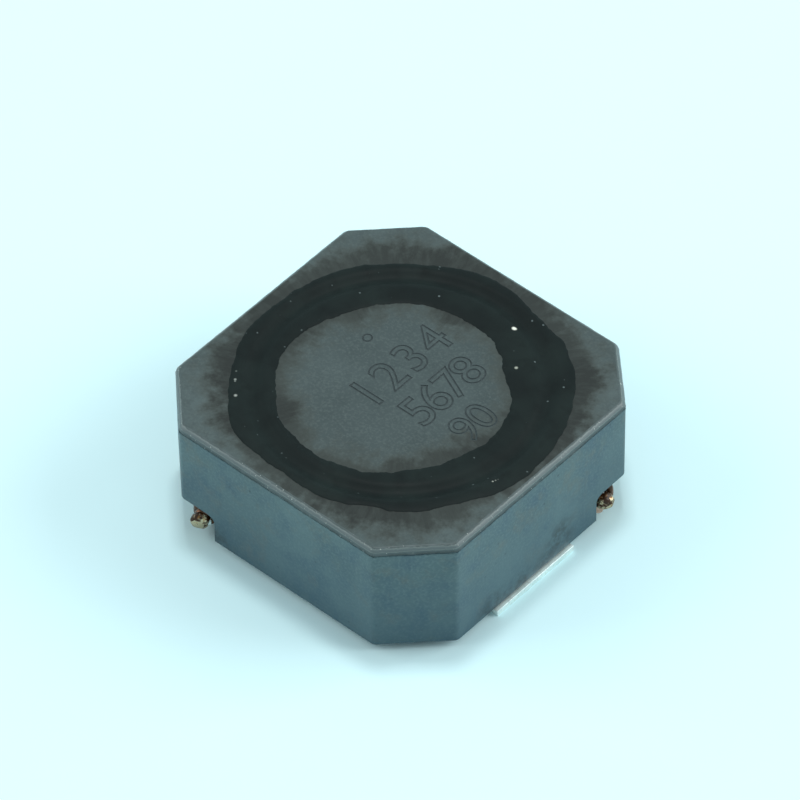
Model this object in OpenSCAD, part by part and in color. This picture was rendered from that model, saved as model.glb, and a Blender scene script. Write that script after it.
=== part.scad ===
// Shielded surface-mount power inductor. A ferrite drum core carries the coil, an
// octagonal ferrite ring round it closes the magnetic path, and two sheet terminals
// under the ring hold the ends of the winding. Black resin seals the round gap on top.
// Millimetres, +Z up, origin at the centre of the part on the terminals' underside.

/* [Shield ring] */
// Distance across the flats of the ring
ring_w = 10.24; // [9.9:0.02:10.5]
// Leg of each corner chamfer, measured along the side
ring_chamfer = 1.62; // [1.4:0.02:1.8]
// Height of the ring
ring_h = 3.77; // [3.7:0.01:4.5]
// Radius of the bore that takes the drum core
ring_bore_r = 4.3; // [4.2:0.01:4.35]
// Clearance between the ring and the surface the part stands on
ring_lift = 0.26; // [0.24:0.01:0.34]
// Height of the two wire notches in the ring's underside
notch_h = 0.92; // [0.9:0.01:1.1]
// Width of the wire notches, measured across the corner
notch_w = 3.98; // [3.8:0.02:4.1]
// Radius of the notches' upper corners
notch_corner_r = 0.2; // [0.1:0.02:0.3]

/* [Ring edges] */
// Inward run of the shallow upper facet of the top bevel
upper_bevel_run = 0.15; // [0.1:0.01:0.2]
// Drop of the shallow upper facet of the top bevel
upper_bevel_drop = 0.1; // [0.06:0.01:0.14]
// Inward run of the steep lower facet of the top bevel
lower_bevel_run = 0.08; // [0.04:0.01:0.1]
// Drop of the steep lower facet of the top bevel
lower_bevel_drop = 0.11; // [0.08:0.01:0.16]
// Small bevel round the ring's lower edge
foot_bevel = 0.03; // [0.02:0.01:0.06]

/* [Drum core] */
// Radius of both flanges
flange_r = 3.8; // [3.7:0.01:3.9]
// Radius of the post that the coil is wound on
post_r = 2; // [1.9:0.01:2]
// Thickness of the top flange
top_flange_t = 0.65; // [0.6:0.01:0.68]
// Thickness of the bottom flange
bottom_flange_t = 0.55; // [0.5:0.01:0.56]
// Height of the drum's underside above the ring's underside
drum_recess = 0.06; // [0.03:0.01:0.06]
// Fillet between post and flanges, and bevel of the flange edges
drum_edge = 0.08; // [0.05:0.01:0.1]

/* [Winding] */
// Diameter of the enamelled wire
wire_d = 0.25; // [0.23:0.005:0.25]
// Number of layers in the coil
coil_layers = 5; // [3:1:6]
// Turns in each layer
coil_turns = 9; // [7:1:9]
// Distance between the turns wrapped on a terminal bar
wrap_pitch = 0.27; // [0.265:0.005:0.28]

/* [Terminals] */
// Thickness of the terminal sheet
sheet_t = 0.2; // [0.18:0.01:0.2]
// Length of the solder pad along the side of the part
pad_length = 3.2; // [2.9:0.02:3.3]
// Depth of the solder pad from its outer edge inward
pad_depth = 2.1; // [1.8:0.05:2.3]
// Reach of the pad beyond the ring's side
pad_reach = 0.1; // [0.05:0.01:0.2]
// Offset of the pad's middle from the middle of the side
pad_shift = -0.36; // [-0.44:0.02:-0.3]
// Height of the raised bar's underside above the pads' underside
bar_lift = 0.48; // [0.46:0.01:0.5]
// Distance of the bar's axis from the middle of the part
bar_u = 5.42; // [5.38:0.01:5.5]
// Half length of the bar
bar_half = 1.6; // [1.5:0.01:1.62]
// Width of the stem that joins the bar to the pad
stem_w = 0.9; // [0.8:0.02:0.9]

/* [Resin] */
// Mean outer radius of the resin spread over the top
spread_out_r = 4.68; // [4.6:0.01:4.72]
// Mean inner radius of the resin spread over the top
spread_in_r = 3.22; // [3.15:0.01:3.3]
// Thickness of the spread resin
spread_t = 0.045; // [0.03:0.005:0.06]
// Depth by which the resin has sunk in the gap between drum and ring
resin_sink = 0.1; // [0.05:0.01:0.2]

/* [Hidden] */
$fn = 96;

ferrite_grey = "#4d5c5e";
resin_black = "#1f2526";
enamel_copper = "#a4593a";
tinned = "#d5d2c6";
solder_grey = "#b9b6aa";
glue_amber = "#5a4a38";

// Clearance left between wound wire and what it lies on
ease = 0.02;
// Margin by which cutting shapes run past the faces that they cut
past = 1;

chamfer_reach = (ring_w - ring_chamfer) / sqrt(2);
top_z = ring_lift + ring_h;
drum_z = ring_lift + drum_recess;
drum_h = ring_h - drum_recess;
bar_z = bar_lift + sheet_t / 2;

// Coil: layers lie in the hollows of the layer below
layer_step = wire_d * sqrt(3) / 2;
first_layer_r = post_r + ease + wire_d / 2;
first_turn_z = drum_z + bottom_flange_t + ease + wire_d / 2;

// Wire wrapped on a bar: half the width of the squarish loop that its centre follows
wrap_half = sheet_t / 2 + wire_d / 2 + ease;
wrap_steps = 12;
wrap_start_v = bar_half - 0.19;
// Steps of the first group of turns, and of the crossing over the stem
group_steps = 34;
cross_steps = 4;
last_step = 2 * group_steps + cross_steps - 6;
cross_jump = 2 * wrap_start_v - wrap_pitch * (2 * group_steps + cross_steps) / wrap_steps;
tube_sides = 8;

// How far the spread resin runs past its mean radii, every 30 degrees from +X
out_waves = [0.15, 0.09, 0.05, 0, -0.08, -0.03, -0.09, -0.05, 0.12, -0.13, -0.08, 0];
in_waves = [-0.01, -0.12, -0.29, -0.23, -0.15, -0.15, 0.05, 0.21, 0.28, 0.25, 0.15, -0.03];

// Points of a circular arc from angle a0 to a1
function arc(centre, r, a0, a1, steps) =
    [for (i = [0:steps]) let (a = a0 + (a1 - a0) * i / steps) centre + r * [cos(a), sin(a)]];

function unit(v) = v / norm(v);

// Point of the plan, from its distance outward along the corner's diagonal and across it
function from_corner(u, v) = [(u - v) / sqrt(2), (u + v) / sqrt(2)];

// Soft step from 0 to 1
function ease_in_out(t) = let (c = min(max(t, 0), 1)) c * c * (3 - 2 * c);

// Squarish loop of the given half width, at angle a
function squarish(half, a) = half * [cos(a), sin(a)] / pow(pow(cos(a), 4) + pow(sin(a), 4), 1 / 4);

// Centre line of the wire round a terminal bar: (outward, along the bar, up)
function wrap_point(i) =
    let (
        loop = squarish(wrap_half, 90 - 360 * i / wrap_steps),
        jump = cross_jump * ease_in_out((i - group_steps) / cross_steps)
    )
    [bar_u + loop[0], wrap_start_v - wrap_pitch * i / wrap_steps - jump, bar_z + loop[1]];

// Centre line of a whole lead, from inside the coil to its cut end
function lead_path() =
    let (tail = wrap_point(last_step))
    concat(
        [
            [1.9, -1.5, first_turn_z],
            [2.5, -0.95, first_turn_z],
            [3.1, -0.35, first_turn_z],
            [3.7, 0.3, first_turn_z],
            [4.2, 0.82, first_turn_z],
            [4.55, 1.14, first_turn_z - 0.01],
            [4.85, 1.32, first_turn_z - 0.05],
            [5.12, wrap_start_v, first_turn_z - 0.12]
        ],
        [for (i = [0:last_step]) wrap_point(i)],
        [
            tail + [-0.06, -0.08, 0.005],
            tail + [-0.08, -0.18, 0.015],
            tail + [-0.08, -0.42, 0.03]
        ]
    );

function tangent(path, i) =
    unit(path[min(i + 1, len(path) - 1)] - path[max(i - 1, 0)]);

// One normal per point, carried along the path without twist
function normals(path) = [
    for (
        i = 0, n = unit(cross(tangent(path, 0), [0, 0, 1]));
        i < len(path);
        i = i + 1, t = tangent(path, i), n = unit(n - (n * t) * t)
    ) n
];

// Ring with flat sides: one slab with the edge bevels worked along both sides
module bevelled_slab(reach) {
    flank = [
        [reach - foot_bevel, 0],
        [reach, foot_bevel],
        [reach, ring_h - upper_bevel_drop - lower_bevel_drop],
        [reach - lower_bevel_run, ring_h - upper_bevel_drop],
        [reach - lower_bevel_run - upper_bevel_run, ring_h]
    ];
    other_flank = [for (i = [len(flank) - 1:-1:0]) [-flank[i][0], flank[i][1]]];
    rotate([90, 0, 0])
        linear_extrude(height = 2 * ring_w, center = true)
            polygon(concat(flank, other_flank));
}

module octagon_blank() {
    intersection() {
        bevelled_slab(ring_w / 2);
        rotate(90) bevelled_slab(ring_w / 2);
        rotate(45) bevelled_slab(chamfer_reach);
        rotate(135) bevelled_slab(chamfer_reach);
    }
}

// Channel that lets a wire out under the corner, with rounded upper corners
module wire_notch() {
    half = notch_w / 2;
    rotate([90, 0, 90])
        linear_extrude(height = ring_w)
            union() {
                translate([-half, -past]) square([2 * half, notch_h - notch_corner_r + past]);
                translate([notch_corner_r - half, 0])
                    square([2 * (half - notch_corner_r), notch_h]);
                for (side = [-1, 1])
                    translate([side * (half - notch_corner_r), notch_h - notch_corner_r])
                        circle(r = notch_corner_r);
            }
}

module shield_ring() {
    color(ferrite_grey)
        translate([0, 0, ring_lift])
            difference() {
                octagon_blank();
                translate([0, 0, -past]) cylinder(r = ring_bore_r, h = ring_h + 2 * past);
                for (turn = [45, 225]) rotate(turn) wire_notch();
            }
}

module drum_core() {
    window_top = drum_h - top_flange_t;
    profile = concat(
        [
            [0, 0],
            [flange_r - drum_edge, 0],
            [flange_r, drum_edge],
            [flange_r, bottom_flange_t - drum_edge],
            [flange_r - drum_edge, bottom_flange_t]
        ],
        arc([post_r + drum_edge, bottom_flange_t + drum_edge], drum_edge, 270, 180, 4),
        arc([post_r + drum_edge, window_top - drum_edge], drum_edge, 180, 90, 4),
        [
            [flange_r - drum_edge, window_top],
            [flange_r, window_top + drum_edge],
            [flange_r, drum_h - drum_edge],
            [flange_r - drum_edge, drum_h],
            [0, drum_h]
        ]
    );
    color(ferrite_grey)
        translate([0, 0, drum_z])
            rotate_extrude()
                polygon(profile);
}

// Radius and height of the centre of one turn of the coil
function turn_centre(layer, turn) = [
    first_layer_r + layer * layer_step,
    first_turn_z + (turn + (layer % 2) / 2) * wire_d
];

// Turns packed in the window: round wires, with the inside of the bundle closed
module coil() {
    // The wires are a hair fat, so that neighbours join
    joined_d = wire_d * 1.01;
    rotate_extrude()
        union() {
            for (layer = [0:coil_layers - 1], turn = [0:coil_turns - 1])
                translate(turn_centre(layer, turn)) circle(d = joined_d, $fn = 24);
            polygon(concat(
                [for (layer = [0:coil_layers - 1]) turn_centre(layer, 0)],
                [for (layer = [coil_layers - 1:-1:0]) turn_centre(layer, coil_turns - 1)]
            ));
        }
}

// Round wire swept along a path
module wire(path) {
    side_normals = normals(path);
    rings = len(path);
    points = [
        for (i = [0:rings - 1])
            let (t = tangent(path, i), n = side_normals[i], b = cross(t, n))
            for (k = [0:tube_sides - 1])
                let (a = 360 * k / tube_sides)
                path[i] + wire_d / 2 * (cos(a) * n + sin(a) * b)
    ];
    walls = [
        for (i = [0:rings - 2], k = [0:tube_sides - 1])
            let (next = (k + 1) % tube_sides)
            [
                i * tube_sides + k,
                (i + 1) * tube_sides + k,
                (i + 1) * tube_sides + next,
                i * tube_sides + next
            ]
    ];
    first_cap = [for (k = [0:tube_sides - 1]) k];
    last_cap = [for (k = [tube_sides - 1:-1:0]) (rings - 1) * tube_sides + k];
    polyhedron(points = points, faces = concat(walls, [first_cap, last_cap]), convexity = 6);
}

module lead() {
    wire(lead_path());
}

module winding_wire() {
    color(enamel_copper)
        union() {
            coil();
            for (turn = [45, 225]) rotate(turn) lead();
        }
}

// Bar that the wire is wrapped on, across the notch, with the folded stem under it
module raised_bar() {
    fold_in = 4.35;
    fold_out = 4.8;
    slope_shift = 0.08;
    stem_side = [
        [fold_in - 0.35, 0],
        [fold_in, 0],
        [fold_out, bar_lift],
        [bar_u, bar_lift],
        [bar_u, bar_lift + sheet_t],
        [fold_out - slope_shift, bar_lift + sheet_t],
        [fold_in - slope_shift, sheet_t],
        [fold_in - 0.35, sheet_t]
    ];
    rotate([90, 0, 0])
        linear_extrude(height = stem_w, center = true)
            polygon(stem_side);
    translate([bar_u - sheet_t / 2, -bar_half, bar_lift]) cube([sheet_t, 2 * bar_half, sheet_t]);
}

// Pad with the arm that leads to the foot of the stem
module pad_sheet() {
    outer = ring_w / 2 + pad_reach;
    inner = outer - pad_depth;
    top_y = pad_shift + pad_length / 2;
    stem_foot = 4.25;
    linear_extrude(height = sheet_t)
        union() {
            translate([inner, pad_shift - pad_length / 2]) square([pad_depth, pad_length]);
            polygon([
                [inner, top_y - 0.1],
                [outer - 0.5, top_y - 0.1],
                [outer - 0.5, top_y + 0.25],
                from_corner(stem_foot, -stem_w / 2),
                from_corner(stem_foot, stem_w / 2),
                from_corner(stem_foot - 0.5, stem_w / 2)
            ]);
        }
}

module terminal() {
    union() {
        pad_sheet();
        rotate(45) raised_bar();
    }
}

module terminal_start() {
    color(tinned) terminal();
}

module terminal_finish() {
    color(tinned) rotate(180) terminal();
}

// Bead of solder round one end of the bar and the last turn of wire on it.
// side: -1 or 1 along the bar; shift: offset of the bead outward, inward along the bar, up
module solder_bead(side, r, shift) {
    inner_t = 0.22;
    outer_t = 0.19;
    bead_profile = concat(
        [for (a = [-90:22.5:0]) [r * cos(a), inner_t * sin(a)]],
        [for (a = [22.5:22.5:90]) [r * cos(a), outer_t * sin(a)]]
    );
    difference() {
        translate([bar_u + shift[0], side * (bar_half - shift[1]), bar_z + shift[2]])
            rotate([-90 * side, 0, 0])
                rotate_extrude()
                    polygon(bead_profile);
        raised_bar();
        lead();
    }
}

// The near bead has the wire's cut end under it, the far one the incoming wire over it
module near_bead() {
    solder_bead(-1, 0.31, [0.08, 0.05, 0.02]);
}

module far_bead() {
    solder_bead(1, 0.33, [0.17, 0.15, 0.06]);
}

module solder_start_near() {
    color(solder_grey) rotate(45) near_bead();
}

module solder_start_far() {
    color(solder_grey) rotate(45) far_bead();
}

module solder_finish_near() {
    color(solder_grey) rotate(225) near_bead();
}

module solder_finish_far() {
    color(solder_grey) rotate(225) far_bead();
}

// Smooth curve through offsets given at equal angles round the circle, at angle a
function wavy(offsets, a) =
    let (
        count = len(offsets),
        place = a / 360 * count,
        i = floor(place),
        t = place - i,
        p = [for (k = [-1:2]) offsets[(i + k + count) % count]]
    )
    p[1] + t * (p[2] - p[0]) / 2
        + t * t * (2 * p[0] - 5 * p[1] + 4 * p[2] - p[3]) / 2
        + t * t * t * (3 * p[1] - p[0] - 3 * p[2] + p[3]) / 2;

// Uneven edge of the spread resin
function spread_edge(r, offsets) =
    [for (a = [0:4:356]) (r + wavy(offsets, a)) * [cos(a), sin(a)]];

// Hollow left where the resin has sunk in the gap, as a solid to cut away
module sunk_groove() {
    slope = 0.06;
    middle_r = (flange_r + ring_bore_r) / 2;
    rotate_extrude()
        polygon([
            [flange_r - slope, top_z + spread_t],
            [flange_r - slope, top_z + past],
            [ring_bore_r + slope, top_z + past],
            [ring_bore_r + slope, top_z + spread_t],
            [ring_bore_r - slope, top_z - resin_sink * 0.8],
            [middle_r, top_z - resin_sink],
            [flange_r + slope, top_z - resin_sink * 0.8]
        ]);
}

module gap_resin() {
    color(resin_black)
        difference() {
            union() {
                translate([0, 0, top_z])
                    linear_extrude(height = spread_t)
                        difference() {
                            polygon(spread_edge(spread_out_r, out_waves));
                            polygon(spread_edge(spread_in_r, in_waves));
                        }
                translate([0, 0, top_z - top_flange_t])
                    difference() {
                        cylinder(r = ring_bore_r, h = top_flange_t);
                        translate([0, 0, -past])
                            cylinder(r = flange_r, h = top_flange_t + 2 * past);
                    }
            }
            sunk_groove();
        }
}

// Glue between a terminal and the underside of the ring and the drum
module base_glue() {
    margin = 0.25;
    outer = ring_w / 2 - margin;
    inner = ring_w / 2 + pad_reach - pad_depth + margin;
    difference() {
        translate([inner, pad_shift - pad_length / 2 + margin, sheet_t])
            cube([outer - inner, pad_length - 2 * margin, drum_z - sheet_t]);
        shield_ring();
        drum_core();
    }
}

module base_glue_start() {
    color(glue_amber) base_glue();
}

module base_glue_finish() {
    color(glue_amber) rotate(180) base_glue();
}

shield_ring();
drum_core();
winding_wire();
terminal_start();
terminal_finish();
solder_start_near();
solder_start_far();
solder_finish_near();
solder_finish_far();
gap_resin();
base_glue_start();
base_glue_finish();
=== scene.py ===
import math
import random

import bmesh
import bpy
from mathutils import Matrix, Vector, noise


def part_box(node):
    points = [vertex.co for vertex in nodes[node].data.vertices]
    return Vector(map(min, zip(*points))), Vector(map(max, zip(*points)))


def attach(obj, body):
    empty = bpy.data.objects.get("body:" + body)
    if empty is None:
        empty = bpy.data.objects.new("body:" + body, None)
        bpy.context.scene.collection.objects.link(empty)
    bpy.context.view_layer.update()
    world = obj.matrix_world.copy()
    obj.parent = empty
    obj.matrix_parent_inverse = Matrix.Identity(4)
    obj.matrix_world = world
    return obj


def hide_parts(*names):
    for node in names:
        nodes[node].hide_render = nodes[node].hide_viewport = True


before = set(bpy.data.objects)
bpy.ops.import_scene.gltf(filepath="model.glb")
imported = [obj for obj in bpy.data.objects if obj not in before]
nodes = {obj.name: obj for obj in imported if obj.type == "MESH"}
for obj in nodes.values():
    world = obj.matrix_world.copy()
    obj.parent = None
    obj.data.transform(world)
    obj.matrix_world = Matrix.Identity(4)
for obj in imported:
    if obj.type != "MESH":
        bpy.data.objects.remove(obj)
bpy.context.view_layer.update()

# Every new piece is modelled in millimetres and brought to metres once it is finished
mm = 0.001


# ---------------------------------------------------------------------------
# Shield ring. An octagonal ring of pressed and fired nickel-zinc ferrite. Its
# top is ground flat, its edge is broken in three facets, and two channels
# under opposite corners let the wire out. Handling has chipped its edges.
# ---------------------------------------------------------------------------
ring_low, ring_high = (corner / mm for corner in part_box("shield_ring"))
ring_w = ring_high.x - ring_low.x
ring_chamfer = 1.62
ring_bore_r = 4.3
bevel_facets = ((0.03, 0.11), (0.06, 0.07), (0.05, 0.03))
lip_h = 0.035
lip_out = 0.012
corner_round = 0.09
edge_round = 0.012
notch_h = 0.92
notch_w = 3.98
notch_round = 0.2
segment = 0.09


def unselect():
    """Leaves edit mode with nothing selected."""
    if bpy.context.object and bpy.context.object.mode != "OBJECT":
        bpy.ops.object.mode_set(mode="OBJECT")
    bpy.ops.object.select_all(action="DESELECT")


def pick(kind, wanted):
    """In edit mode, selects only the verts, edges or faces that pass the test."""
    mesh = bpy.context.object.data
    bpy.ops.mesh.select_mode(type={"verts": "VERT", "edges": "EDGE", "faces": "FACE"}[kind])
    bpy.ops.mesh.select_all(action="DESELECT")
    shape = bmesh.from_edit_mesh(mesh)
    shape.normal_update()
    for part in getattr(shape, kind):
        if wanted(part):
            part.select_set(True)
    bmesh.update_edit_mesh(mesh)


def level(edge):
    """Whether an edge is level."""
    return abs(edge.verts[0].co.z - edge.verts[1].co.z) < 1e-4


def middle(edge):
    return (edge.verts[0].co + edge.verts[1].co) / 2


def apply_modifier(piece, kind, **settings):
    """Adds a modifier to the piece, sets it up and applies it."""
    unselect()
    bpy.context.view_layer.objects.active = piece
    piece.select_set(True)
    bpy.ops.object.modifier_add(type=kind)
    modifier = piece.modifiers[-1]
    for name, value in settings.items():
        setattr(modifier, name, value)
    bpy.ops.object.modifier_apply(modifier=modifier.name)


def cut(piece, *cutters, **settings):
    """Cuts the cutters out of the piece, and removes them."""
    for cutter in cutters:
        apply_modifier(
            piece, "BOOLEAN", operation="DIFFERENCE", solver="EXACT", object=cutter, **settings
        )
        bpy.data.objects.remove(cutter)


def merge_slivers(piece):
    """Merges corners that a cut has left on top of each other, and removes slivers. A cut
    gives its corners in any order, so they are sorted first, by distance from a far place."""
    unselect()
    bpy.context.view_layer.objects.active = piece
    bpy.context.scene.cursor.location = (31, 17, 23)
    bpy.ops.object.mode_set(mode="EDIT")
    bpy.ops.mesh.select_mode(type="VERT")
    bpy.ops.mesh.select_all(action="SELECT")
    bpy.ops.mesh.sort_elements(type="CURSOR_DISTANCE", elements={"VERT", "EDGE", "FACE"})
    bpy.ops.mesh.remove_doubles(threshold=4e-3)
    bpy.ops.mesh.dissolve_degenerate(threshold=2e-3)
    bpy.ops.object.mode_set(mode="OBJECT")
    bpy.context.scene.cursor.location = (0, 0, 0)


def to_metres(piece, crease=30):
    """Brings a finished piece to metres, with its place in its mesh, and smooths its faces."""
    unselect()
    bpy.context.view_layer.objects.active = piece
    piece.select_set(True)
    piece.scale = (mm, mm, mm)
    piece.location = piece.location * mm
    bpy.ops.object.transform_apply(location=True, rotation=True, scale=True)
    bpy.ops.object.shade_smooth_by_angle(angle=math.radians(crease))


unselect()
bpy.ops.mesh.primitive_plane_add(size=ring_w, location=(0, 0, ring_low.z))
ring = bpy.context.object
ring.name = "ring"
bpy.ops.object.transform_apply(location=True)
wall_top = ring_high.z - ring_low.z - sum(drop for _, drop in bevel_facets)
bpy.ops.object.mode_set(mode="EDIT")
bpy.ops.mesh.select_mode(type="VERT")
bpy.ops.mesh.bevel(
    offset_type="PERCENT", offset_pct=100 * ring_chamfer / ring_w, affect="VERTICES"
)
bpy.ops.mesh.select_mode(type="FACE")
bpy.ops.mesh.select_all(action="SELECT")
bpy.ops.mesh.extrude_region_move(
    TRANSFORM_OT_translate={"value": (0, 0, wall_top - lip_h)}
)
bpy.ops.mesh.inset(thickness=lip_out, depth=0)
bpy.ops.mesh.extrude_region_move(TRANSFORM_OT_translate={"value": (0, 0, lip_h * 0.6)})
bpy.ops.mesh.inset(thickness=lip_out, depth=lip_h * 0.4, use_outset=True)
for run, drop in bevel_facets:
    bpy.ops.mesh.inset(thickness=run, depth=drop)
bpy.ops.mesh.select_all(action="SELECT")
bpy.ops.mesh.normals_make_consistent(inside=False)
pick("edges", lambda e: not level(e))
bpy.ops.mesh.bevel(offset=corner_round, segments=4, affect="EDGES")
for side_length in (ring_w - 2 * ring_chamfer, ring_chamfer * math.sqrt(2)):
    pick("edges", lambda e: level(e) and abs(e.calc_length() - side_length) < 1)
    bpy.ops.mesh.subdivide(number_cuts=round(side_length / segment) - 1)
pick("edges", lambda e: level(e) and middle(e).z > ring_low.z + wall_top - 1e-4)
bpy.ops.mesh.bevel(offset=edge_round, segments=2, affect="EDGES", clamp_overlap=True)
bpy.ops.object.mode_set(mode="OBJECT")

# Chips and wear: the edges wander a little, and here and there a crumb has broken off
random.seed(11)
chips = [
    (random.uniform(0, 2 * math.pi), random.uniform(0.008, 0.03), random.uniform(0.004, 0.02))
    for _ in range(70)
]
wander_most = 0.008
chips_within = 0.03
for vertex in ring.data.vertices:
    place = vertex.co
    above_wall = place.z - ring_low.z - wall_top
    if above_wall < -lip_h - 1e-3:
        continue
    flat_place = Vector((place.x, place.y, 0))
    wander = noise.noise(flat_place * 4.3 + Vector((0, 0, place.z * 9))) * wander_most
    around = math.atan2(place.y, place.x)
    chip = sum(
        deep * max(0, 1 - abs(math.remainder(around - side, 2 * math.pi)) / wide)
        for side, deep, wide in chips
        if abs(above_wall) < chips_within
    )
    vertex.co -= flat_place.normalized() * (wander + chip)

unselect()
bpy.ops.mesh.primitive_cylinder_add(
    vertices=192, radius=ring_bore_r, depth=ring_high.z + 2, location=(0, 0, ring_high.z / 2)
)
bore = bpy.context.object
notches = []
for turn in (45, 225):
    unselect()
    bpy.ops.mesh.primitive_cube_add(size=1)
    notch = bpy.context.object
    notch.scale = (ring_w / 2, notch_w, 2 * notch_h)
    place = Vector((ring_w * 0.55, 0, ring_low.z))
    place.rotate(Matrix.Rotation(math.radians(turn), 3, "Z"))
    notch.location = place
    notch.rotation_euler.z = math.radians(turn)
    bpy.ops.object.transform_apply(location=False, rotation=False, scale=True)
    bpy.ops.object.mode_set(mode="EDIT")
    pick("edges", lambda e: level(e) and middle(e).z > 0 and abs(middle(e).x) < 0.01)
    bpy.ops.mesh.bevel(offset=notch_round, segments=6, affect="EDGES")
    bpy.ops.object.mode_set(mode="OBJECT")
    notches.append(notch)
cut(ring, bore, *notches)
apply_modifier(
    ring, "BEVEL", width=0.03, segments=2, limit_method="ANGLE", angle_limit=math.radians(60)
)
merge_slivers(ring)


def linear(code):
    """A colour given as sRGB hex, in linear light."""
    parts = [int(code[i : i + 2], 16) / 255 for i in (1, 3, 5)]
    return [*(c / 12.92 if c <= 0.04045 else ((c + 0.055) / 1.055) ** 2.4 for c in parts), 1]


def add(tree, kind, settings=None, out=0):
    """Adds a node to the tree with its settings and links. Returns one of its outputs."""
    node = tree.nodes.new("ShaderNode" + kind)
    for name, value in (settings or {}).items():
        if isinstance(value, bpy.types.NodeSocket):
            tree.links.new(value, node.inputs[name])
        elif isinstance(name, str) and hasattr(node, name):
            setattr(node, name, value)
        else:
            node.inputs[name].default_value = value
    return node.outputs[out]


def material(name, roughness, gloss=0.5, metallic=0.0):
    """A material with its surface's settings. Returns it with its tree and its surface node."""
    finish = bpy.data.materials.new(name)
    finish.use_nodes = True
    tree = finish.node_tree
    shader = tree.nodes["Principled BSDF"]
    shader.inputs["Roughness"].default_value = roughness
    shader.inputs["Specular IOR Level"].default_value = gloss
    shader.inputs["Metallic"].default_value = metallic
    return finish, tree, shader


def grain(tree, size, detail=2, rough=0.5, place=None, low=0, high=1, out_low=0.0, out_high=1.0):
    """Cloudy pattern with features of the given size in millimetres, spread over a range."""
    clouds = {"Scale": 1 / (size * mm), "Detail": detail, "Roughness": rough}
    clouds["Vector"] = place or add(tree, "TexCoord", out="Object")
    spread = {"From Min": low, "From Max": high, "To Min": out_low, "To Max": out_high}
    spread["Value"] = add(tree, "TexNoise", clouds)
    return add(tree, "MapRange", spread)


def lay_over(tree, colour, *layers):
    """Lays colours over the first one, each by the amount that its pattern gives."""
    for code, amount in layers:
        over = {"Fac": amount, "Color1": colour, "Color2": linear(code)}
        colour = add(tree, "MixRGB", over)
    return colour


# Ground ferrite: fine matt grey ceramic with a faint cast of its grinding
def ground_ferrite(name, body, pale, stain_reach, stain_strength, outward):
    """Ground ferrite, browned where the resin's thinner has soaked in beside the seal. The
    stain's reach from the axis and its strength are given at equal angles from +X."""
    finish, tree, shader = material(name, roughness=0.5, gloss=0.3)
    colour = lay_over(
        tree,
        linear(body),
        (pale, grain(tree, 1.4, 3, low=0.35, high=0.7)),
        ("#384445", grain(tree, 0.35, 3, 0.6, low=0.45, high=0.75)),
        ("#525f5e", grain(tree, 0.07, 2, low=0.45, high=0.75, out_high=0.45)),
    )
    # Distance from the axis in millimetres, and the angle round it from 0 to 1
    place = add(tree, "TexCoord", out="Object")
    flat = add(tree, "VectorMath", {"operation": "MULTIPLY", 0: place, 1: (1 / mm, 1 / mm, 0)})
    reach = add(tree, "VectorMath", {"operation": "LENGTH", 0: flat}, "Value")
    across = add(tree, "SeparateXYZ", {"Vector": flat}, "Y")
    angle = add(tree, "Math", {"operation": "ARCTAN2", 0: across, 1: across.node.outputs["X"]})
    turn = add(tree, "Math", {"operation": "DIVIDE", 0: angle, 1: 2 * math.pi})
    turn = add(tree, "Math", {"operation": "FRACT", 0: turn})
    # A place in which clouds are drawn out into radial streaks
    rim = add(tree, "VectorMath", {"operation": "NORMALIZE", 0: flat})
    rim = add(tree, "VectorMath", {"operation": "SCALE", 0: rim, "Scale": 5 * mm})
    drawn = add(tree, "Math", {"operation": "MULTIPLY", 0: reach, 1: 0.3 * mm})
    drawn = add(tree, "CombineXYZ", {"Z": drawn})
    streaks = add(tree, "VectorMath", {"operation": "ADD", 0: rim, 1: drawn})

    round_axis = []
    for values, most in ((stain_reach, 10), (stain_strength, 1)):
        share = add(tree, "FloatCurve", {"Value": turn})
        points = share.node.mapping.curves[0].points
        points[0].location = (0, values[0] / most)
        points[1].location = (1, values[0] / most)
        for i, value in enumerate(values[1:], 1):
            points.new(i / len(values), value / most)
        share.node.mapping.update()
        round_axis.append(add(tree, "Math", {"operation": "MULTIPLY", 0: share, 1: most}))
    edge, strength = round_axis
    ragged = (
        grain(tree, 0.45, 4, 0.6, streaks, out_low=-0.4, out_high=0.4),
        grain(tree, 0.55, 4, 0.65, out_low=-0.9, out_high=0.9),
    )
    for clouds in ragged:
        edge = add(tree, "Math", {"operation": "ADD", 0: edge, 1: clouds})
    past = add(tree, "Math", {"operation": "SUBTRACT", 0: reach, 1: edge})
    if outward:
        past = add(tree, "Math", {"operation": "MULTIPLY", 0: past, 1: -1})
    fade = {"interpolation_type": "SMOOTHSTEP", "Value": past}
    soak = add(tree, "MapRange", {**fade, "From Min": -0.25, "From Max": 0.4})
    faint = add(tree, "MapRange", {**fade, "From Min": -0.7, "From Max": 0.3, "To Max": 0.72})
    patch = grain(tree, 0.22, 4, 0.65, streaks, low=0.3, high=0.55, out_low=0.6)
    for thinned in (strength, patch):
        soak = add(tree, "Math", {"operation": "MULTIPLY", 0: soak, 1: thinned})
    colour = lay_over(tree, colour, ("#363b36", faint), ("#181b19", soak))
    tree.links.new(colour, shader.inputs["Base Color"])
    tree.links.new(grain(tree, 0.3, 2, out_low=0.45, out_high=0.62), shader.inputs["Roughness"])
    ground = {"Strength": 0.3, "Distance": 0.004 * mm, "Height": grain(tree, 0.07, 3, 0.6)}
    tree.links.new(add(tree, "Bump", ground), shader.inputs["Normal"])
    return finish


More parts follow.
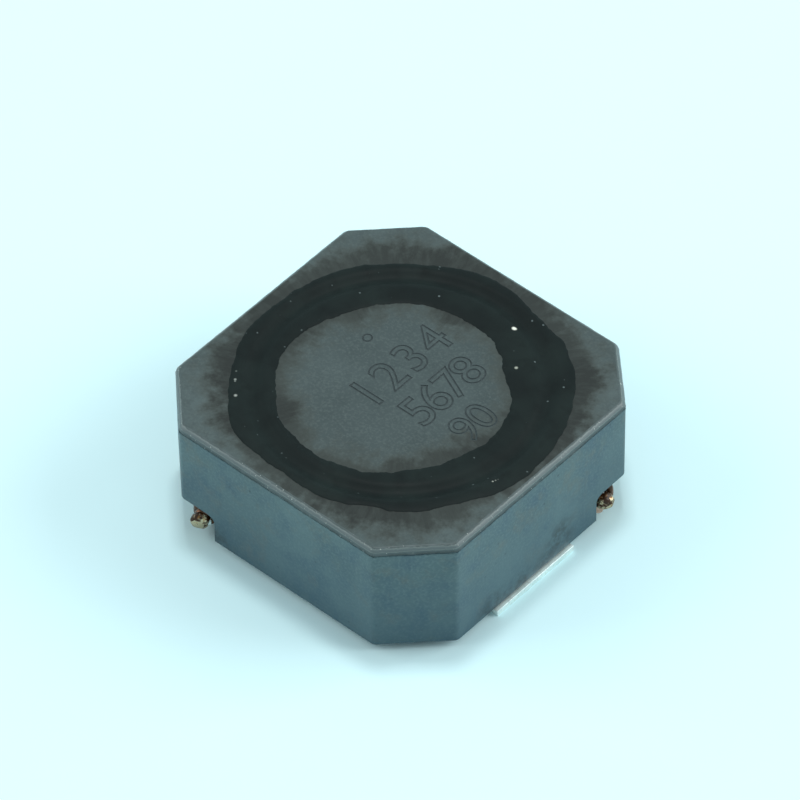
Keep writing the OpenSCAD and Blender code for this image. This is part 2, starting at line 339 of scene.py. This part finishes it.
ring_top_finish = ground_ferrite(
    "ferrite_ground_top",
    "#3c494a",
    "#485657",
    [
        5.1, 5.3, 5.4, 5.45, 5.2, 5.2, 5.2, 5.3, 5.35, 5.35, 5.25, 5.2,
        5.2, 5.2, 5.2, 5.15, 5.1, 4.9, 4.95, 5.15, 5.3, 5.4, 5.2, 5.1,
    ],
    [
        0.8, 0.9, 1.0, 1.0, 0.8, 0.8, 0.85, 0.9, 0.95, 0.85, 0.75, 0.8,
        0.9, 0.95, 1.0, 1.0, 1.0, 0.7, 0.75, 0.95, 1.0, 0.9, 0.7, 0.75,
    ],
    True,
)  # fmt: skip


# Fired ferrite: the pressed sides keep their kiln skin, cloudy blue grey with pits
side_finish, tree, shader = material("ferrite_fired_skin", roughness=0.5, gloss=0.4)
place = add(tree, "TexCoord", out="Object")
height = add(tree, "SeparateXYZ", {"Vector": place}, "Z")
pit = add(tree, "TexVoronoi", {"Scale": 1 / (0.55 * mm), "Randomness": 1.0, "Vector": place})
pit = add(tree, "MapRange", {"From Min": 0.1, "From Max": 0.03, "Value": pit})
here = grain(tree, 0.8, 2, low=0.42, high=0.5)
pit = add(tree, "Math", {"operation": "MULTIPLY", 0: pit, 1: here})
# Painted shade with a blue cast, growing darker towards the foot
foot_shade = {"From Min": 3.2 * mm, "From Max": 0.5 * mm, "To Max": 0.55, "Value": height}
colour = lay_over(
    tree,
    linear("#435a5f"),
    ("#50686c", grain(tree, 2.2, 3, low=0.35, high=0.65)),
    ("#37515e", grain(tree, 0.9, 4, 0.6, low=0.45, high=0.75)),
    ("#575f5a", grain(tree, 0.6, 4, 0.65, low=0.52, high=0.75, out_high=0.8)),
    ("#5f7679", grain(tree, 0.08, 2, low=0.45, high=0.75, out_high=0.6)),
    ("#1c2326", add(tree, "Math", {"operation": "MULTIPLY", 0: pit, 1: 0.75})),
    ("#324f5c", add(tree, "MapRange", foot_shade)),
)
# Dark patches on the walls, one above the terminal and four low along the foot
dark_patches = (
    ((5.12, 0.75, 0.9), 0.8),
    ((5.12, 0.1, 0.3), 0.6),
    ((5.12, -0.9, 0.3), 0.7),
    ((5.12, -2.0, 0.3), 0.9),
    ((-2.3, -5.12, 0.3), 0.9),
)
for centre, reach in dark_patches:
    away = {"operation": "DISTANCE", 0: place, 1: Vector(centre) * mm}
    near = {"From Min": reach * mm, "From Max": reach * mm / 3}
    near["Value"] = add(tree, "VectorMath", away, "Value")
    darkening = add(tree, "MapRange", near)
    for thinned in (grain(tree, 0.25, 4, 0.65, low=0.42, high=0.6), 0.7):
        darkening = add(tree, "Math", {"operation": "MULTIPLY", 0: darkening, 1: thinned})
    colour = lay_over(tree, colour, ("#263135", darkening))
# Painted shade under the lip: a dark, ragged band just below the edge
wall_end = (ring_low.z + wall_top) * mm
under_lip = {"From Min": wall_end - 0.1 * mm, "From Max": wall_end, "Value": height}
lip_shade = add(tree, "MapRange", under_lip)
for thinned in (grain(tree, 0.12, 4, 0.7, low=0.45, high=0.6), 0.75):
    lip_shade = add(tree, "Math", {"operation": "MULTIPLY", 0: lip_shade, 1: thinned})
colour = lay_over(tree, colour, ("#1f2628", lip_shade))
tree.links.new(colour, shader.inputs["Base Color"])
pitted = add(tree, "Math", {"operation": "SUBTRACT", 0: grain(tree, 0.09, 4, 0.6), 1: pit})
bump = add(tree, "Bump", {"Strength": 0.3, "Distance": 0.006 * mm, "Height": pitted})
tree.links.new(bump, shader.inputs["Normal"])

# Edge facets: pale bands along the facets' corners are painted highlights over a little rubbed
# wear, and the dark band under the lowest facet is painted shade with some crumbling
edge_wear_and_highlights, tree, shader = material("ferrite_edge_wear_and_painted_highlights", roughness=0.42, gloss=0.4)
bevel_low = ring_low.z + wall_top - 0.03
height = add(tree, "SeparateXYZ", {"Vector": add(tree, "TexCoord", out="Object")}, "Z")
up_bevel = {"From Min": bevel_low * mm, "From Max": ring_high.z * mm, "Value": height}
rise = add(tree, "MapRange", up_bevel)
waver = grain(tree, 0.12, 3, 0.6, out_low=-0.1, out_high=0.1)
rise = add(tree, "Math", {"operation": "ADD", 0: rise, 1: waver})
facet_light_bands = add(tree, "ValToRGB", {"Fac": rise})
elements = facet_light_bands.node.color_ramp.elements
elements[0].color = linear("#222b2d")
elements[1].color = linear("#3f4c4d")
# The pale stops at 0.56 and 0.87 are painted highlights on the facets' corners; the dark stops
# near 0 are painted shade under the lip
for at, code in (
    (0.12, "#2b3537"),
    (0.24, "#3a4648"),
    (0.48, "#4a5759"),
    (0.56, "#667473"),
    (0.64, "#4f5c5e"),
    (0.78, "#556264"),
    (0.87, "#677473"),
    (0.94, "#3b4748"),
):
    elements.new(at).color = linear(code)
colour = lay_over(
    tree,
    facet_light_bands,
    ("#556264", grain(tree, 0.5, 3, 0.6, low=0.45, high=0.7, out_high=0.6)),
    ("#a5afab", grain(tree, 0.06, 2, low=0.68, high=0.74)),
)
tree.links.new(colour, shader.inputs["Base Color"])
bump = add(
    tree, "Bump", {"Strength": 0.4, "Distance": 0.01 * mm, "Height": grain(tree, 0.08, 3)}
)
tree.links.new(bump, shader.inputs["Normal"])

to_metres(ring)
for finish in (side_finish, ring_top_finish, edge_wear_and_highlights):
    ring.data.materials.append(finish)
for face in ring.data.polygons:
    z = face.center.z / mm
    on_top = z > ring_high.z - 0.1 and face.normal.z > 0.99
    sloped = z > bevel_low and 0.05 < face.normal.z <= 0.99
    outside = math.hypot(face.center.x, face.center.y) > (ring_bore_r + 0.2) * mm
    face.material_index = 1 if on_top or (sloped and not outside) else 2 * int(sloped)
apply_modifier(ring, "WEIGHTED_NORMAL", keep_sharp=True)
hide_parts("shield_ring")
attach(ring, "root")


# ---------------------------------------------------------------------------
# Drum core. A spool of the same ferrite, turned to shape and fired, that sits
# in the ring's bore with its upper flange flush with the ring's top. The coil
# fills its waist. Rows of digits are cut into its top in outline, as a laser marks it.
# ---------------------------------------------------------------------------
drum_low, drum_high = (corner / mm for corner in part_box("drum_core"))
flange_r = drum_high.x
post_r = 2
bottom_flange_t = 0.55
top_flange_t = 0.65
drum_edge = 0.06
line_r = 0.028
# Each row's digits, the place of its foot, its middle, its height and its length
digit_rows = (
    ("1234", 0.08, 0.5, 1.1, 3.2),
    ("5678", 1.57, 0.58, 1.1, 2.6),
    ("90", 2.92, 0.22, 0.97, 1.25),
)
start_dot = Vector((-1.83, 0.73, 0))

unselect()
bpy.ops.mesh.primitive_cylinder_add(
    vertices=192,
    radius=flange_r,
    depth=bottom_flange_t,
    location=(0, 0, drum_low.z + bottom_flange_t / 2),
)
drum = bpy.context.object
drum.name = "drum"
bpy.ops.object.transform_apply(location=True)
bpy.ops.object.mode_set(mode="EDIT")
pick("faces", lambda f: f.normal.z > 0.9)
bpy.ops.mesh.inset(thickness=flange_r - post_r)
waist_h = drum_high.z - drum_low.z - bottom_flange_t - top_flange_t
bpy.ops.mesh.extrude_region_move(TRANSFORM_OT_translate={"value": (0, 0, waist_h)})
bpy.ops.mesh.extrude_region_move(TRANSFORM_OT_translate={"value": (0, 0, 0)})
spread = flange_r / post_r
bpy.ops.transform.resize(value=(spread, spread, 1))
bpy.ops.mesh.extrude_region_move(TRANSFORM_OT_translate={"value": (0, 0, top_flange_t)})
bpy.ops.object.mode_set(mode="OBJECT")
apply_modifier(
    drum, "BEVEL", width=drum_edge, segments=3, limit_method="ANGLE", angle_limit=math.radians(60)
)

grooves = []
for digits, foot_x, middle_y, high, long in digit_rows:
    unselect()
    bpy.ops.object.text_add()
    words = bpy.context.object
    words.data.body = digits
    words.data.size = high / 0.7
    words.data.align_x = "CENTER"
    bpy.context.view_layer.update()
    words.data.space_character = long / words.dimensions.x
    words.data.fill_mode = "NONE"
    words.data.bevel_depth = line_r
    words.data.bevel_resolution = 1
    words.data.resolution_u = 6
    words.location = (foot_x, middle_y, drum_high.z)
    words.rotation_euler.z = math.pi / 2
    bpy.ops.object.convert(target="MESH")
    grooves.append(bpy.context.object)
unselect()
bpy.ops.mesh.primitive_torus_add(
    major_radius=0.13,
    minor_radius=line_r,
    major_segments=32,
    minor_segments=8,
    location=start_dot + Vector((0, 0, drum_high.z)),
)
grooves.append(bpy.context.object)

drum_finish = ground_ferrite(
    "ferrite_ground_drum",
    "#344041",
    "#3f4c4d",
    [
        2.85, 2.85, 2.95, 2.75, 2.85, 2.9, 2.75, 2.55, 2.95, 2.9, 2.6, 2.9,
        2.9, 2.95, 3.2, 3.1, 2.75, 3.25, 3.25, 3.1, 3.0, 2.8, 2.8, 2.6,
    ],
    [
        0.8, 0.7, 0.4, 0.3, 0.3, 0.3, 0.7, 0.9, 0.35, 0.4, 0.8, 0.5,
        0.8, 0.75, 0.5, 0.6, 0.95, 0.5, 0.5, 0.5, 0.7, 0.8, 0.7, 0.9,
    ],
    False,
)  # fmt: skip
# Laser line: the beam leaves a shallow, slightly darker and rougher groove
groove_finish, tree, shader = material("ferrite_laser_line", roughness=0.75)
clouds = grain(tree, 0.09, 3, 0.6, low=0.4, high=0.7)
colour = lay_over(tree, linear("#2c3739"), ("#3a4648", clouds))
tree.links.new(colour, shader.inputs["Base Color"])
for groove in grooves:
    groove.data.materials.clear()
    groove.data.materials.append(groove_finish)
drum.data.materials.append(drum_finish)
cut(drum, *grooves, material_mode="TRANSFER", use_self=True)
merge_slivers(drum)
to_metres(drum)
apply_modifier(drum, "WEIGHTED_NORMAL", keep_sharp=True)
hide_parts("drum_core")
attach(drum, "root")


# ---------------------------------------------------------------------------
# Winding. Enamelled copper wire, wound in five layers on the drum's waist. Its
# two ends leave under opposite corners and are wrapped on the terminal bars,
# where the solder bath has burnt the enamel brown.
# ---------------------------------------------------------------------------
wire_r = 0.125
ease = 0.02
layers = 5
turns = 9
first_layer_r = post_r + ease + wire_r
first_turn_z = drum_low.z + bottom_flange_t + ease + wire_r
sheet_t = 0.2
bar_u = 5.42
bar_half = 1.6
bar_z = 0.58
wrap_pitch = 0.27
wrap_half = sheet_t / 2 + wire_r + ease
wrap_start_v = bar_half - 0.19
wrap_steps = 24
group_turns = 34 / 12
cross_turns = 4 / 12
wrap_turns = 2 * group_turns + cross_turns - 0.5
cross_jump = 2 * wrap_start_v - wrap_pitch * (2 * group_turns + cross_turns)


def from_corner(place):
    """A place given outward along the corner's diagonal, across it and up."""
    out, across, up = place
    return Vector(((out - across) / math.sqrt(2), (out + across) / math.sqrt(2), up))


def wrap_point(turn):
    """Centre of the wire after so many turns round the bar."""
    a = math.pi / 2 - 2 * math.pi * turn
    c, s = math.cos(a), math.sin(a)
    squarish = wrap_half / (c**4 + s**4) ** 0.25
    t = min(max((turn - group_turns) / cross_turns, 0), 1)
    jump = cross_jump * t * t * (3 - 2 * t)
    return (bar_u + squarish * c, wrap_start_v - wrap_pitch * turn - jump, bar_z + squarish * s)


tail = wrap_point(wrap_turns)
lead = [
    (1.9, -1.5, first_turn_z),
    (2.5, -0.95, first_turn_z),
    (3.1, -0.35, first_turn_z),
    (3.7, 0.3, first_turn_z),
    (4.2, 0.82, first_turn_z),
    (4.55, 1.14, first_turn_z - 0.01),
    (4.85, 1.32, first_turn_z - 0.05),
    (5.12, wrap_start_v, first_turn_z - 0.12),
]
lead += [wrap_point(i / wrap_steps) for i in range(round(wrap_turns * wrap_steps) + 1)]
lead += [
    (tail[0] - 0.06, tail[1] - 0.08, tail[2] + 0.005),
    (tail[0] - 0.08, tail[1] - 0.18, tail[2] + 0.015),
    (tail[0] - 0.08, tail[1] - 0.42, tail[2] + 0.03),
]
lead = [from_corner(place) for place in lead]
coil = []
coil_steps = 40
for layer in range(layers):
    r = first_layer_r + layer * wire_r * math.sqrt(3)
    for i in range(turns * coil_steps + 1):
        climb = i / coil_steps if layer % 2 == 0 else turns - i / coil_steps
        climb = min(climb, turns - 1)
        a = 2 * math.pi * i / coil_steps
        coil.append(
            Vector((r * math.cos(a), r * math.sin(a), first_turn_z + climb * 2 * wire_r))
        )
half_turn = Matrix.Rotation(math.pi, 3, "Z")
runs = [coil, lead, [half_turn @ place for place in lead]]
wire = bpy.data.curves.new("winding", "CURVE")
wire.dimensions = "3D"
wire.bevel_depth = wire_r
wire.bevel_resolution = 3
wire.use_fill_caps = True
wire.resolution_u = 3
for run in runs:
    spline = wire.splines.new("NURBS" if run is not coil else "POLY")
    spline.points.add(len(run) - 1)
    for point, place in zip(spline.points, run):
        point.co = (*place, 1)
    if run is not coil:
        spline.order_u = 3
        spline.use_endpoint_u = True
winding = bpy.data.objects.new("winding", wire)
bpy.context.scene.collection.objects.link(winding)
unselect()
bpy.context.view_layer.objects.active = winding
winding.select_set(True)
bpy.ops.object.convert(target="MESH")
winding = bpy.context.object
to_metres(winding, 60)

# Enamelled copper: clear amber lacquer over drawn copper, scorched near the solder
wire_finish, tree, shader = material("copper_enamelled", roughness=0.28, gloss=0.3, metallic=0.55)
shader.inputs["Coat Weight"].default_value = 0.25
shader.inputs["Coat Roughness"].default_value = 0.15
colour = lay_over(
    tree,
    linear("#6d4123"),
    ("#43291a", grain(tree, 0.3, 3, low=0.4, high=0.65)),
    ("#1f1712", grain(tree, 0.12, 3, low=0.5, high=0.7)),
)
tree.links.new(colour, shader.inputs["Base Color"])
bump = add(
    tree, "Bump", {"Strength": 0.3, "Distance": 0.01 * mm, "Height": grain(tree, 0.1, 3)}
)
tree.links.new(bump, shader.inputs["Normal"])
# Cut copper: the bright pinkish metal at the lead's clipped end
bare_finish, tree, shader = material("copper_cut_end", roughness=0.4, metallic=0.6)
clouds = grain(tree, 0.06, 2, low=0.4, high=0.7)
colour = lay_over(tree, linear("#d3b3a2"), ("#c39a86", clouds))
tree.links.new(colour, shader.inputs["Base Color"])
winding.data.materials.append(wire_finish)
winding.data.materials.append(bare_finish)
bare_length = 0.3
ends = [lead[-1] * mm, half_turn @ lead[-1] * mm]
for face in winding.data.polygons:
    away = min((face.center - end).length for end in ends)
    face.material_index = int(away < bare_length * mm)
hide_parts("winding_wire")
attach(winding, "root")


# ---------------------------------------------------------------------------
# Terminals. Tinned copper sheet, punched and folded: a solder pad under the
# side, and a bar raised into the corner's channel for the wire.
# ---------------------------------------------------------------------------
tin_finish, tree, shader = material("tinned_sheet", roughness=0.35, metallic=0.6)
colour = lay_over(
    tree,
    linear("#effaf7"),
    ("#deebe8", grain(tree, 0.5, 3, low=0.4, high=0.7)),
    ("#aeb5ae", grain(tree, 0.08, 3, low=0.55, high=0.75, out_high=0.5)),
)
tree.links.new(colour, shader.inputs["Base Color"])
tree.links.new(grain(tree, 0.4, 3, out_low=0.22, out_high=0.5), shader.inputs["Roughness"])
bump = add(
    tree, "Bump", {"Strength": 0.25, "Distance": 0.008 * mm, "Height": grain(tree, 0.15, 4)}
)
tree.links.new(bump, shader.inputs["Normal"])


def copy_of(node, name):
    """The node's mesh as one closed shell, in millimetres, for a new piece."""
    piece = nodes[node].copy()
    piece.data = nodes[node].data.copy()
    piece.data.materials.clear()
    piece.name = name
    piece.parent = None
    for key in list(piece.keys()):
        del piece[key]
    bpy.context.scene.collection.objects.link(piece)
    unselect()
    bpy.context.view_layer.objects.active = piece
    piece.select_set(True)
    piece.scale = (1 / mm, 1 / mm, 1 / mm)
    bpy.ops.object.transform_apply(location=True, rotation=True, scale=True)
    bpy.ops.object.mode_set(mode="EDIT")
    bpy.ops.mesh.select_all(action="SELECT")
    bpy.ops.mesh.remove_doubles(threshold=1e-4)
    bpy.ops.mesh.dissolve_limited(angle_limit=math.radians(1))
    bpy.ops.object.mode_set(mode="OBJECT")
    return piece


for end in ("start", "finish"):
    terminal = copy_of(f"terminal_{end}", f"sheet_{end}")
    apply_modifier(
        terminal,
        "BEVEL",
        width=0.025,
        segments=3,
        limit_method="ANGLE",
        angle_limit=math.radians(25),
    )
    to_metres(terminal)
    terminal.data.materials.append(tin_finish)
    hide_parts(f"terminal_{end}")
    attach(terminal, "root")


# ---------------------------------------------------------------------------
# Solder. A bead of tin solder at each end of both bars, drawn over the wire's
# last turns and set with ridges and a skin of flux.
# ---------------------------------------------------------------------------
solder_finish, tree, shader = material("solder_fluxed", roughness=0.25, gloss=0.25, metallic=0.9)
height = add(tree, "SeparateXYZ", {"Vector": add(tree, "TexCoord", out="Object")}, "Z")
up_bead = {"From Min": (bar_z - 0.3) * mm, "From Max": (bar_z + 0.3) * mm, "Value": height}
more_above = add(tree, "MapRange", {**up_bead, "To Min": -0.16, "To Max": 0.09})
flux = add(tree, "Math", {"operation": "ADD", 0: grain(tree, 0.16, 3, 0.6), 1: more_above})
flux = add(tree, "MapRange", {"From Min": 0.43, "From Max": 0.52, "Value": flux})
colour = lay_over(
    tree,
    linear("#c2b294"),
    ("#37200d", flux),
    ("#94652f", grain(tree, 0.1, 2, low=0.58, high=0.66, out_high=0.6)),
)
tree.links.new(colour, shader.inputs["Base Color"])
bare = add(tree, "Math", {"operation": "SUBTRACT", 0: 0.95, 1: flux})
tree.links.new(bare, shader.inputs["Metallic"])
bump = add(
    tree, "Bump", {"Strength": 0.6, "Distance": 0.02 * mm, "Height": grain(tree, 0.12, 3)}
)
tree.links.new(bump, shader.inputs["Normal"])
# Each bead's end of the bar, radius, and shift outward, inward along the bar and up
beads = {
    "near": (-1, 0.31, (0.08, 0.05, -0.03)),
    "far": (1, 0.32, (0.17, 0.13, 0.02)),
}
lump_most = 0.16
ridge_most = 0.03
for where, (side, r, shift) in beads.items():
    unselect()
    bpy.ops.mesh.primitive_ico_sphere_add(subdivisions=3, radius=r)
    bead = bpy.context.object
    bead.name = f"solder_start_{where}_bead"
    bpy.ops.object.mode_set(mode="EDIT")
    bpy.ops.mesh.select_all(action="SELECT")
    bpy.ops.transform.resize(value=(0.95, 0.62, 0.95))
    bpy.ops.object.mode_set(mode="OBJECT")
    for vertex in bead.data.vertices:
        lump = lump_most * noise.noise(vertex.co * 7 + Vector((3 * side, 0, 0)))
        ridge = ridge_most * math.sin(vertex.co.y * 2 * math.pi / wrap_pitch)
        vertex.co *= 1 + lump + ridge
    bead.location = from_corner(
        (bar_u + shift[0], side * (bar_half - shift[1]), bar_z + shift[2])
    )
    bead.rotation_euler.z = math.radians(45)
    bpy.ops.object.transform_apply(location=True, rotation=True, scale=True)
    apply_modifier(bead, "SUBSURF", levels=1, render_levels=1)
    to_metres(bead, 80)
    bead.data.materials.append(solder_finish)
    bpy.ops.object.duplicate()
    turned = bpy.context.object
    turned.name = f"solder_finish_{where}_bead"
    turned.rotation_euler.z = math.pi
    bpy.ops.object.transform_apply(location=False, rotation=True, scale=False)
    for piece, end in ((bead, "start"), (turned, "finish")):
        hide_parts(f"solder_{end}_{where}")
        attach(piece, "root")


# ---------------------------------------------------------------------------
# Seal. Black epoxy brushed round the gap between drum and ring, where it fills
# the gap and spreads over both tops in a thin film with an uneven edge.
# ---------------------------------------------------------------------------
film_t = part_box("gap_resin")[1].z / mm - ring_high.z
seal_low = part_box("gap_resin")[0].z / mm
film_out = [
    4.83, 4.8, 4.77, 4.79, 4.73, 4.53, 4.68, 4.71, 4.6, 4.58, 4.65, 4.61,
    4.59, 4.68, 4.64, 4.67, 4.84, 4.64, 4.55, 4.68, 4.6, 4.75, 4.68, 4.84,
]  # fmt: skip
film_in = [
    3.21, 3.17, 3.1, 2.88, 2.93, 3.0, 2.99, 3.01, 3.07, 3.05, 3.07, 3.11,
    3.27, 3.39, 3.43, 3.37, 3.51, 3.45, 3.47, 3.4, 3.37, 3.21, 3.19, 3.15,
]  # fmt: skip
seal_sides = 480
wet = 0.006


def round_value(values, a):
    """A value that changes smoothly round the part, from values at equal angles from +X."""
    place = a / (2 * math.pi) * len(values)
    i = math.floor(place)
    t = place - i
    p = [values[(i + k) % len(values)] for k in (-1, 0, 1, 2)]
    return (
        p[1]
        + t * (p[2] - p[0]) / 2
        + t * t * (2 * p[0] - 5 * p[1] + 4 * p[2] - p[3]) / 2
        + t**3 * (3 * p[1] - p[0] - 3 * p[2] + p[3]) / 2
    )


# Stations across the film: which edge they keep to, how far in from it, and how high
crown = film_t * 0.8
sink = -0.09
stations = [
    ("in", 0.0, 0.0),
    ("in", 0.0, wet),
    ("in", 0.05, 0.5 * crown),
    ("in", 0.13, 0.85 * crown),
    ("drum", -0.2, crown),
    ("drum", -0.1, 0.9 * crown),
    ("drum", -0.03, 0.5 * crown),
    ("drum", 0.04, 0.15 * sink),
    ("drum", 0.13, 0.65 * sink),
    ("drum", 0.25, sink),
    ("bore", -0.13, 0.65 * sink),
    ("bore", -0.04, 0.15 * sink),
    ("bore", 0.03, 0.5 * crown),
    ("bore", 0.09, 0.9 * crown),
    ("bore", 0.15, crown),
    ("out", -0.07, 0.85 * crown),
    ("out", -0.03, 0.5 * crown),
    ("out", 0.0, wet),
    ("out", 0.0, 0.0),
    ("bore", -0.004, 0.0),
    ("bore", -0.004, seal_low - ring_high.z),
    ("drum", 0.004, seal_low - ring_high.z),
    ("drum", 0.004, 0.0),
]
unselect()
bpy.ops.mesh.primitive_circle_add(vertices=seal_sides, radius=1, location=(0, 0, 0))
seal = bpy.context.object
seal.name = "seal"
bpy.ops.object.mode_set(mode="EDIT")
bpy.ops.mesh.select_mode(type="EDGE")
bpy.ops.mesh.select_all(action="SELECT")
for _ in stations[1:]:
    bpy.ops.mesh.extrude_region_move(TRANSFORM_OT_translate={"value": (0, 0, 1)})
last = len(stations) - 1
pick("edges", lambda e: level(e) and round(e.verts[0].co.z) in (0, last))
bpy.ops.mesh.bridge_edge_loops()
bpy.ops.object.mode_set(mode="OBJECT")
for vertex in seal.data.vertices:
    keeps_to, offset, rise = stations[round(vertex.co.z)]
    a = math.atan2(vertex.co.y, vertex.co.x) % (2 * math.pi)
    way = Vector((math.cos(a), math.sin(a), 0))
    ragged = noise.noise(way * 9) * 0.05 + noise.noise(way * 31) * 0.025
    if keeps_to == "in":
        r = round_value(film_in, a) + ragged + offset
    elif keeps_to == "out":
        r = round_value(film_out, a) + ragged + offset
    else:
        r = (flange_r if keeps_to == "drum" else ring_bore_r) + offset
    vertex.co = way * r + Vector((0, 0, ring_high.z + rise))
unselect()
bpy.context.view_layer.objects.active = seal
seal.select_set(True)
bpy.ops.object.mode_set(mode="EDIT")
bpy.ops.mesh.select_all(action="SELECT")
bpy.ops.mesh.normals_make_consistent(inside=False)
bpy.ops.object.mode_set(mode="OBJECT")
to_metres(seal, 60)
# Cured black epoxy: deep and even, with a soft gloss, and motes caught in it
seal_finish, tree, shader = material("epoxy_black", roughness=0.6, gloss=0.1)
place = add(tree, "TexCoord", out="Object")
mote = add(tree, "TexVoronoi", {"Scale": 1 / (0.3 * mm), "Vector": place})
mote = add(tree, "MapRange", {"From Min": 0.13, "From Max": 0.06, "Value": mote})
for thinned in (grain(tree, 0.25, 2, low=0.55, high=0.62), 0.75):
    mote = add(tree, "Math", {"operation": "MULTIPLY", 0: mote, 1: thinned})
colour = lay_over(
    tree,
    linear("#101717"),
    ("#182120", grain(tree, 1.2, 3, low=0.4, high=0.7)),
    ("#0d1313", grain(tree, 0.5, 3, low=0.5, high=0.75, out_high=0.8)),
    ("#6b7a7b", mote),
)
# Dust that has settled in it, two grains and a fibre; pale spots on chips along its rim and one
# near (-4.0, 1.12) are painted glints
dust_and_glints = (
    ((-3.69, -2.58), 0.05, "#6f7975"),
    ((-3.5, -2.83), 0.06, "#8c9691"),
    ((-3.46, -2.88), 0.05, "#8c9691"),
    ((-3.09, -3.27), 0.07, "#98a09b"),
    ((1.0, 3.62), 0.09, "#e3ebdf"),
    ((2.02, 2.52), 0.07, "#9fa79c"),
    ((4.3, -1.1), 0.05, "#b9c1b8"),
    ((4.33, -1.02), 0.045, "#b9c1b8"),
    ((4.36, -0.95), 0.04, "#b9c1b8"),
    ((-4.0, 1.12), 0.05, "#8a9491"),
)
for centre, reach, code in dust_and_glints:
    away = {"operation": "DISTANCE", 0: place, 1: Vector((*centre, ring_high.z)) * mm}
    near = {"From Min": reach * mm, "From Max": reach * mm / 2}
    near["Value"] = add(tree, "VectorMath", away, "Value")
    colour = lay_over(tree, colour, (code, add(tree, "MapRange", near)))
tree.links.new(colour, shader.inputs["Base Color"])
tree.links.new(grain(tree, 0.6, 3, out_low=0.4, out_high=0.65), shader.inputs["Roughness"])
bump = add(
    tree, "Bump", {"Strength": 0.3, "Distance": 0.008 * mm, "Height": grain(tree, 0.25, 4)}
)
tree.links.new(bump, shader.inputs["Normal"])
seal.data.materials.append(seal_finish)
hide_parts("gap_resin")
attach(seal, "root")


# ---------------------------------------------------------------------------
# Base glue. Amber epoxy between each terminal and the underside of the ring
# and the drum, set where it was pressed out.
# ---------------------------------------------------------------------------
glue_finish, tree, shader = material("epoxy_amber", roughness=0.35)
clouds = grain(tree, 0.4, 3, low=0.4, high=0.7)
colour = lay_over(tree, linear("#5d4a30"), ("#473722", clouds))
tree.links.new(colour, shader.inputs["Base Color"])
bump = add(
    tree, "Bump", {"Strength": 0.4, "Distance": 0.02 * mm, "Height": grain(tree, 0.3, 3)}
)
tree.links.new(bump, shader.inputs["Normal"])
for end in ("start", "finish"):
    glue = copy_of(f"base_glue_{end}", f"glue_{end}")
    apply_modifier(glue, "REMESH", mode="VOXEL", voxel_size=0.04)
    apply_modifier(glue, "SMOOTH", factor=0.5, iterations=6)
    to_metres(glue, 60)
    glue.data.materials.append(glue_finish)
    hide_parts(f"base_glue_{end}")
    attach(glue, "root")


# ---------------------------------------------------------------------------
# Setting: a plain pale floor, soft light from all round and the camera.
# ---------------------------------------------------------------------------
unselect()
bpy.ops.mesh.primitive_plane_add(size=1.2, location=(0, 0, 0))
floor = bpy.context.object
floor.name = "floor"
floor_finish, tree, shader = material("floor_paper", roughness=0.9, gloss=0.0)
colour = lay_over(tree, linear("#d4f6fb"), ("#d0f2f8", grain(tree, 3, 2, out_high=0.3)))
tree.links.new(colour, shader.inputs["Base Color"])
floor.data.materials.append(floor_finish)

world = bpy.data.worlds.new("studio")
bpy.context.scene.world = world
world.use_nodes = True
tree = world.node_tree
room = tree.nodes["Background"]
room.inputs["Color"].default_value = linear("#f6fdff")
room.inputs["Strength"].default_value = 0.5
# The room is seen, mirrored and seen through as pale as the floor, and lights less
seen = add(tree, "Background", {"Color": linear("#dcfbfe"), "Strength": 1.0})
pale = add(tree, "LightPath", out="Is Camera Ray")
for ray in ("Is Glossy Ray", "Is Transmission Ray"):
    pale = add(tree, "Math", {"operation": "ADD", 0: pale, 1: add(tree, "LightPath", out=ray)})
surface = add(tree, "MixShader", {0: pale, 1: room.outputs["Background"], 2: seen})
tree.links.new(surface, tree.nodes["World Output"].inputs["Surface"])

for name, place, size, power in (
    ("top", (-0.035, 0.04, 0.3), 0.05, 0.3),
    ("right", (0.18, 0.18, 0.15), 0.2, 0.55),
    ("left", (-0.2, -0.15, 0.15), 0.2, 0.32),
):
    lamp = bpy.data.lights.new(name, "AREA")
    lamp.size = size
    lamp.energy = power
    holder = bpy.data.objects.new(name, lamp)
    holder.location = place
    holder.rotation_euler = (-Vector(place)).to_track_quat("-Z", "Y").to_euler()
    bpy.context.scene.collection.objects.link(holder)

camera = bpy.data.cameras.new("camera")
camera.lens = 345.2
camera.sensor_width = 36
camera.clip_start = 0.01
holder = bpy.data.objects.new("camera", camera)
bpy.context.scene.collection.objects.link(holder)
aim = Vector((-0.88, 0.98, 2.0)) * mm
distance = 211.8 * mm
around, above, tilt = 41.8, 46.72, -0.7
turned = (
    Matrix.Rotation(math.radians(around), 4, "Z")
    @ Matrix.Rotation(math.radians(90 - above), 4, "X")
    @ Matrix.Rotation(math.radians(tilt), 4, "Z")
)
holder.matrix_world = Matrix.Translation(aim) @ turned @ Matrix.Translation((0, 0, distance))
bpy.context.scene.camera = holder
bpy.context.scene.view_settings.view_transform = "Standard"
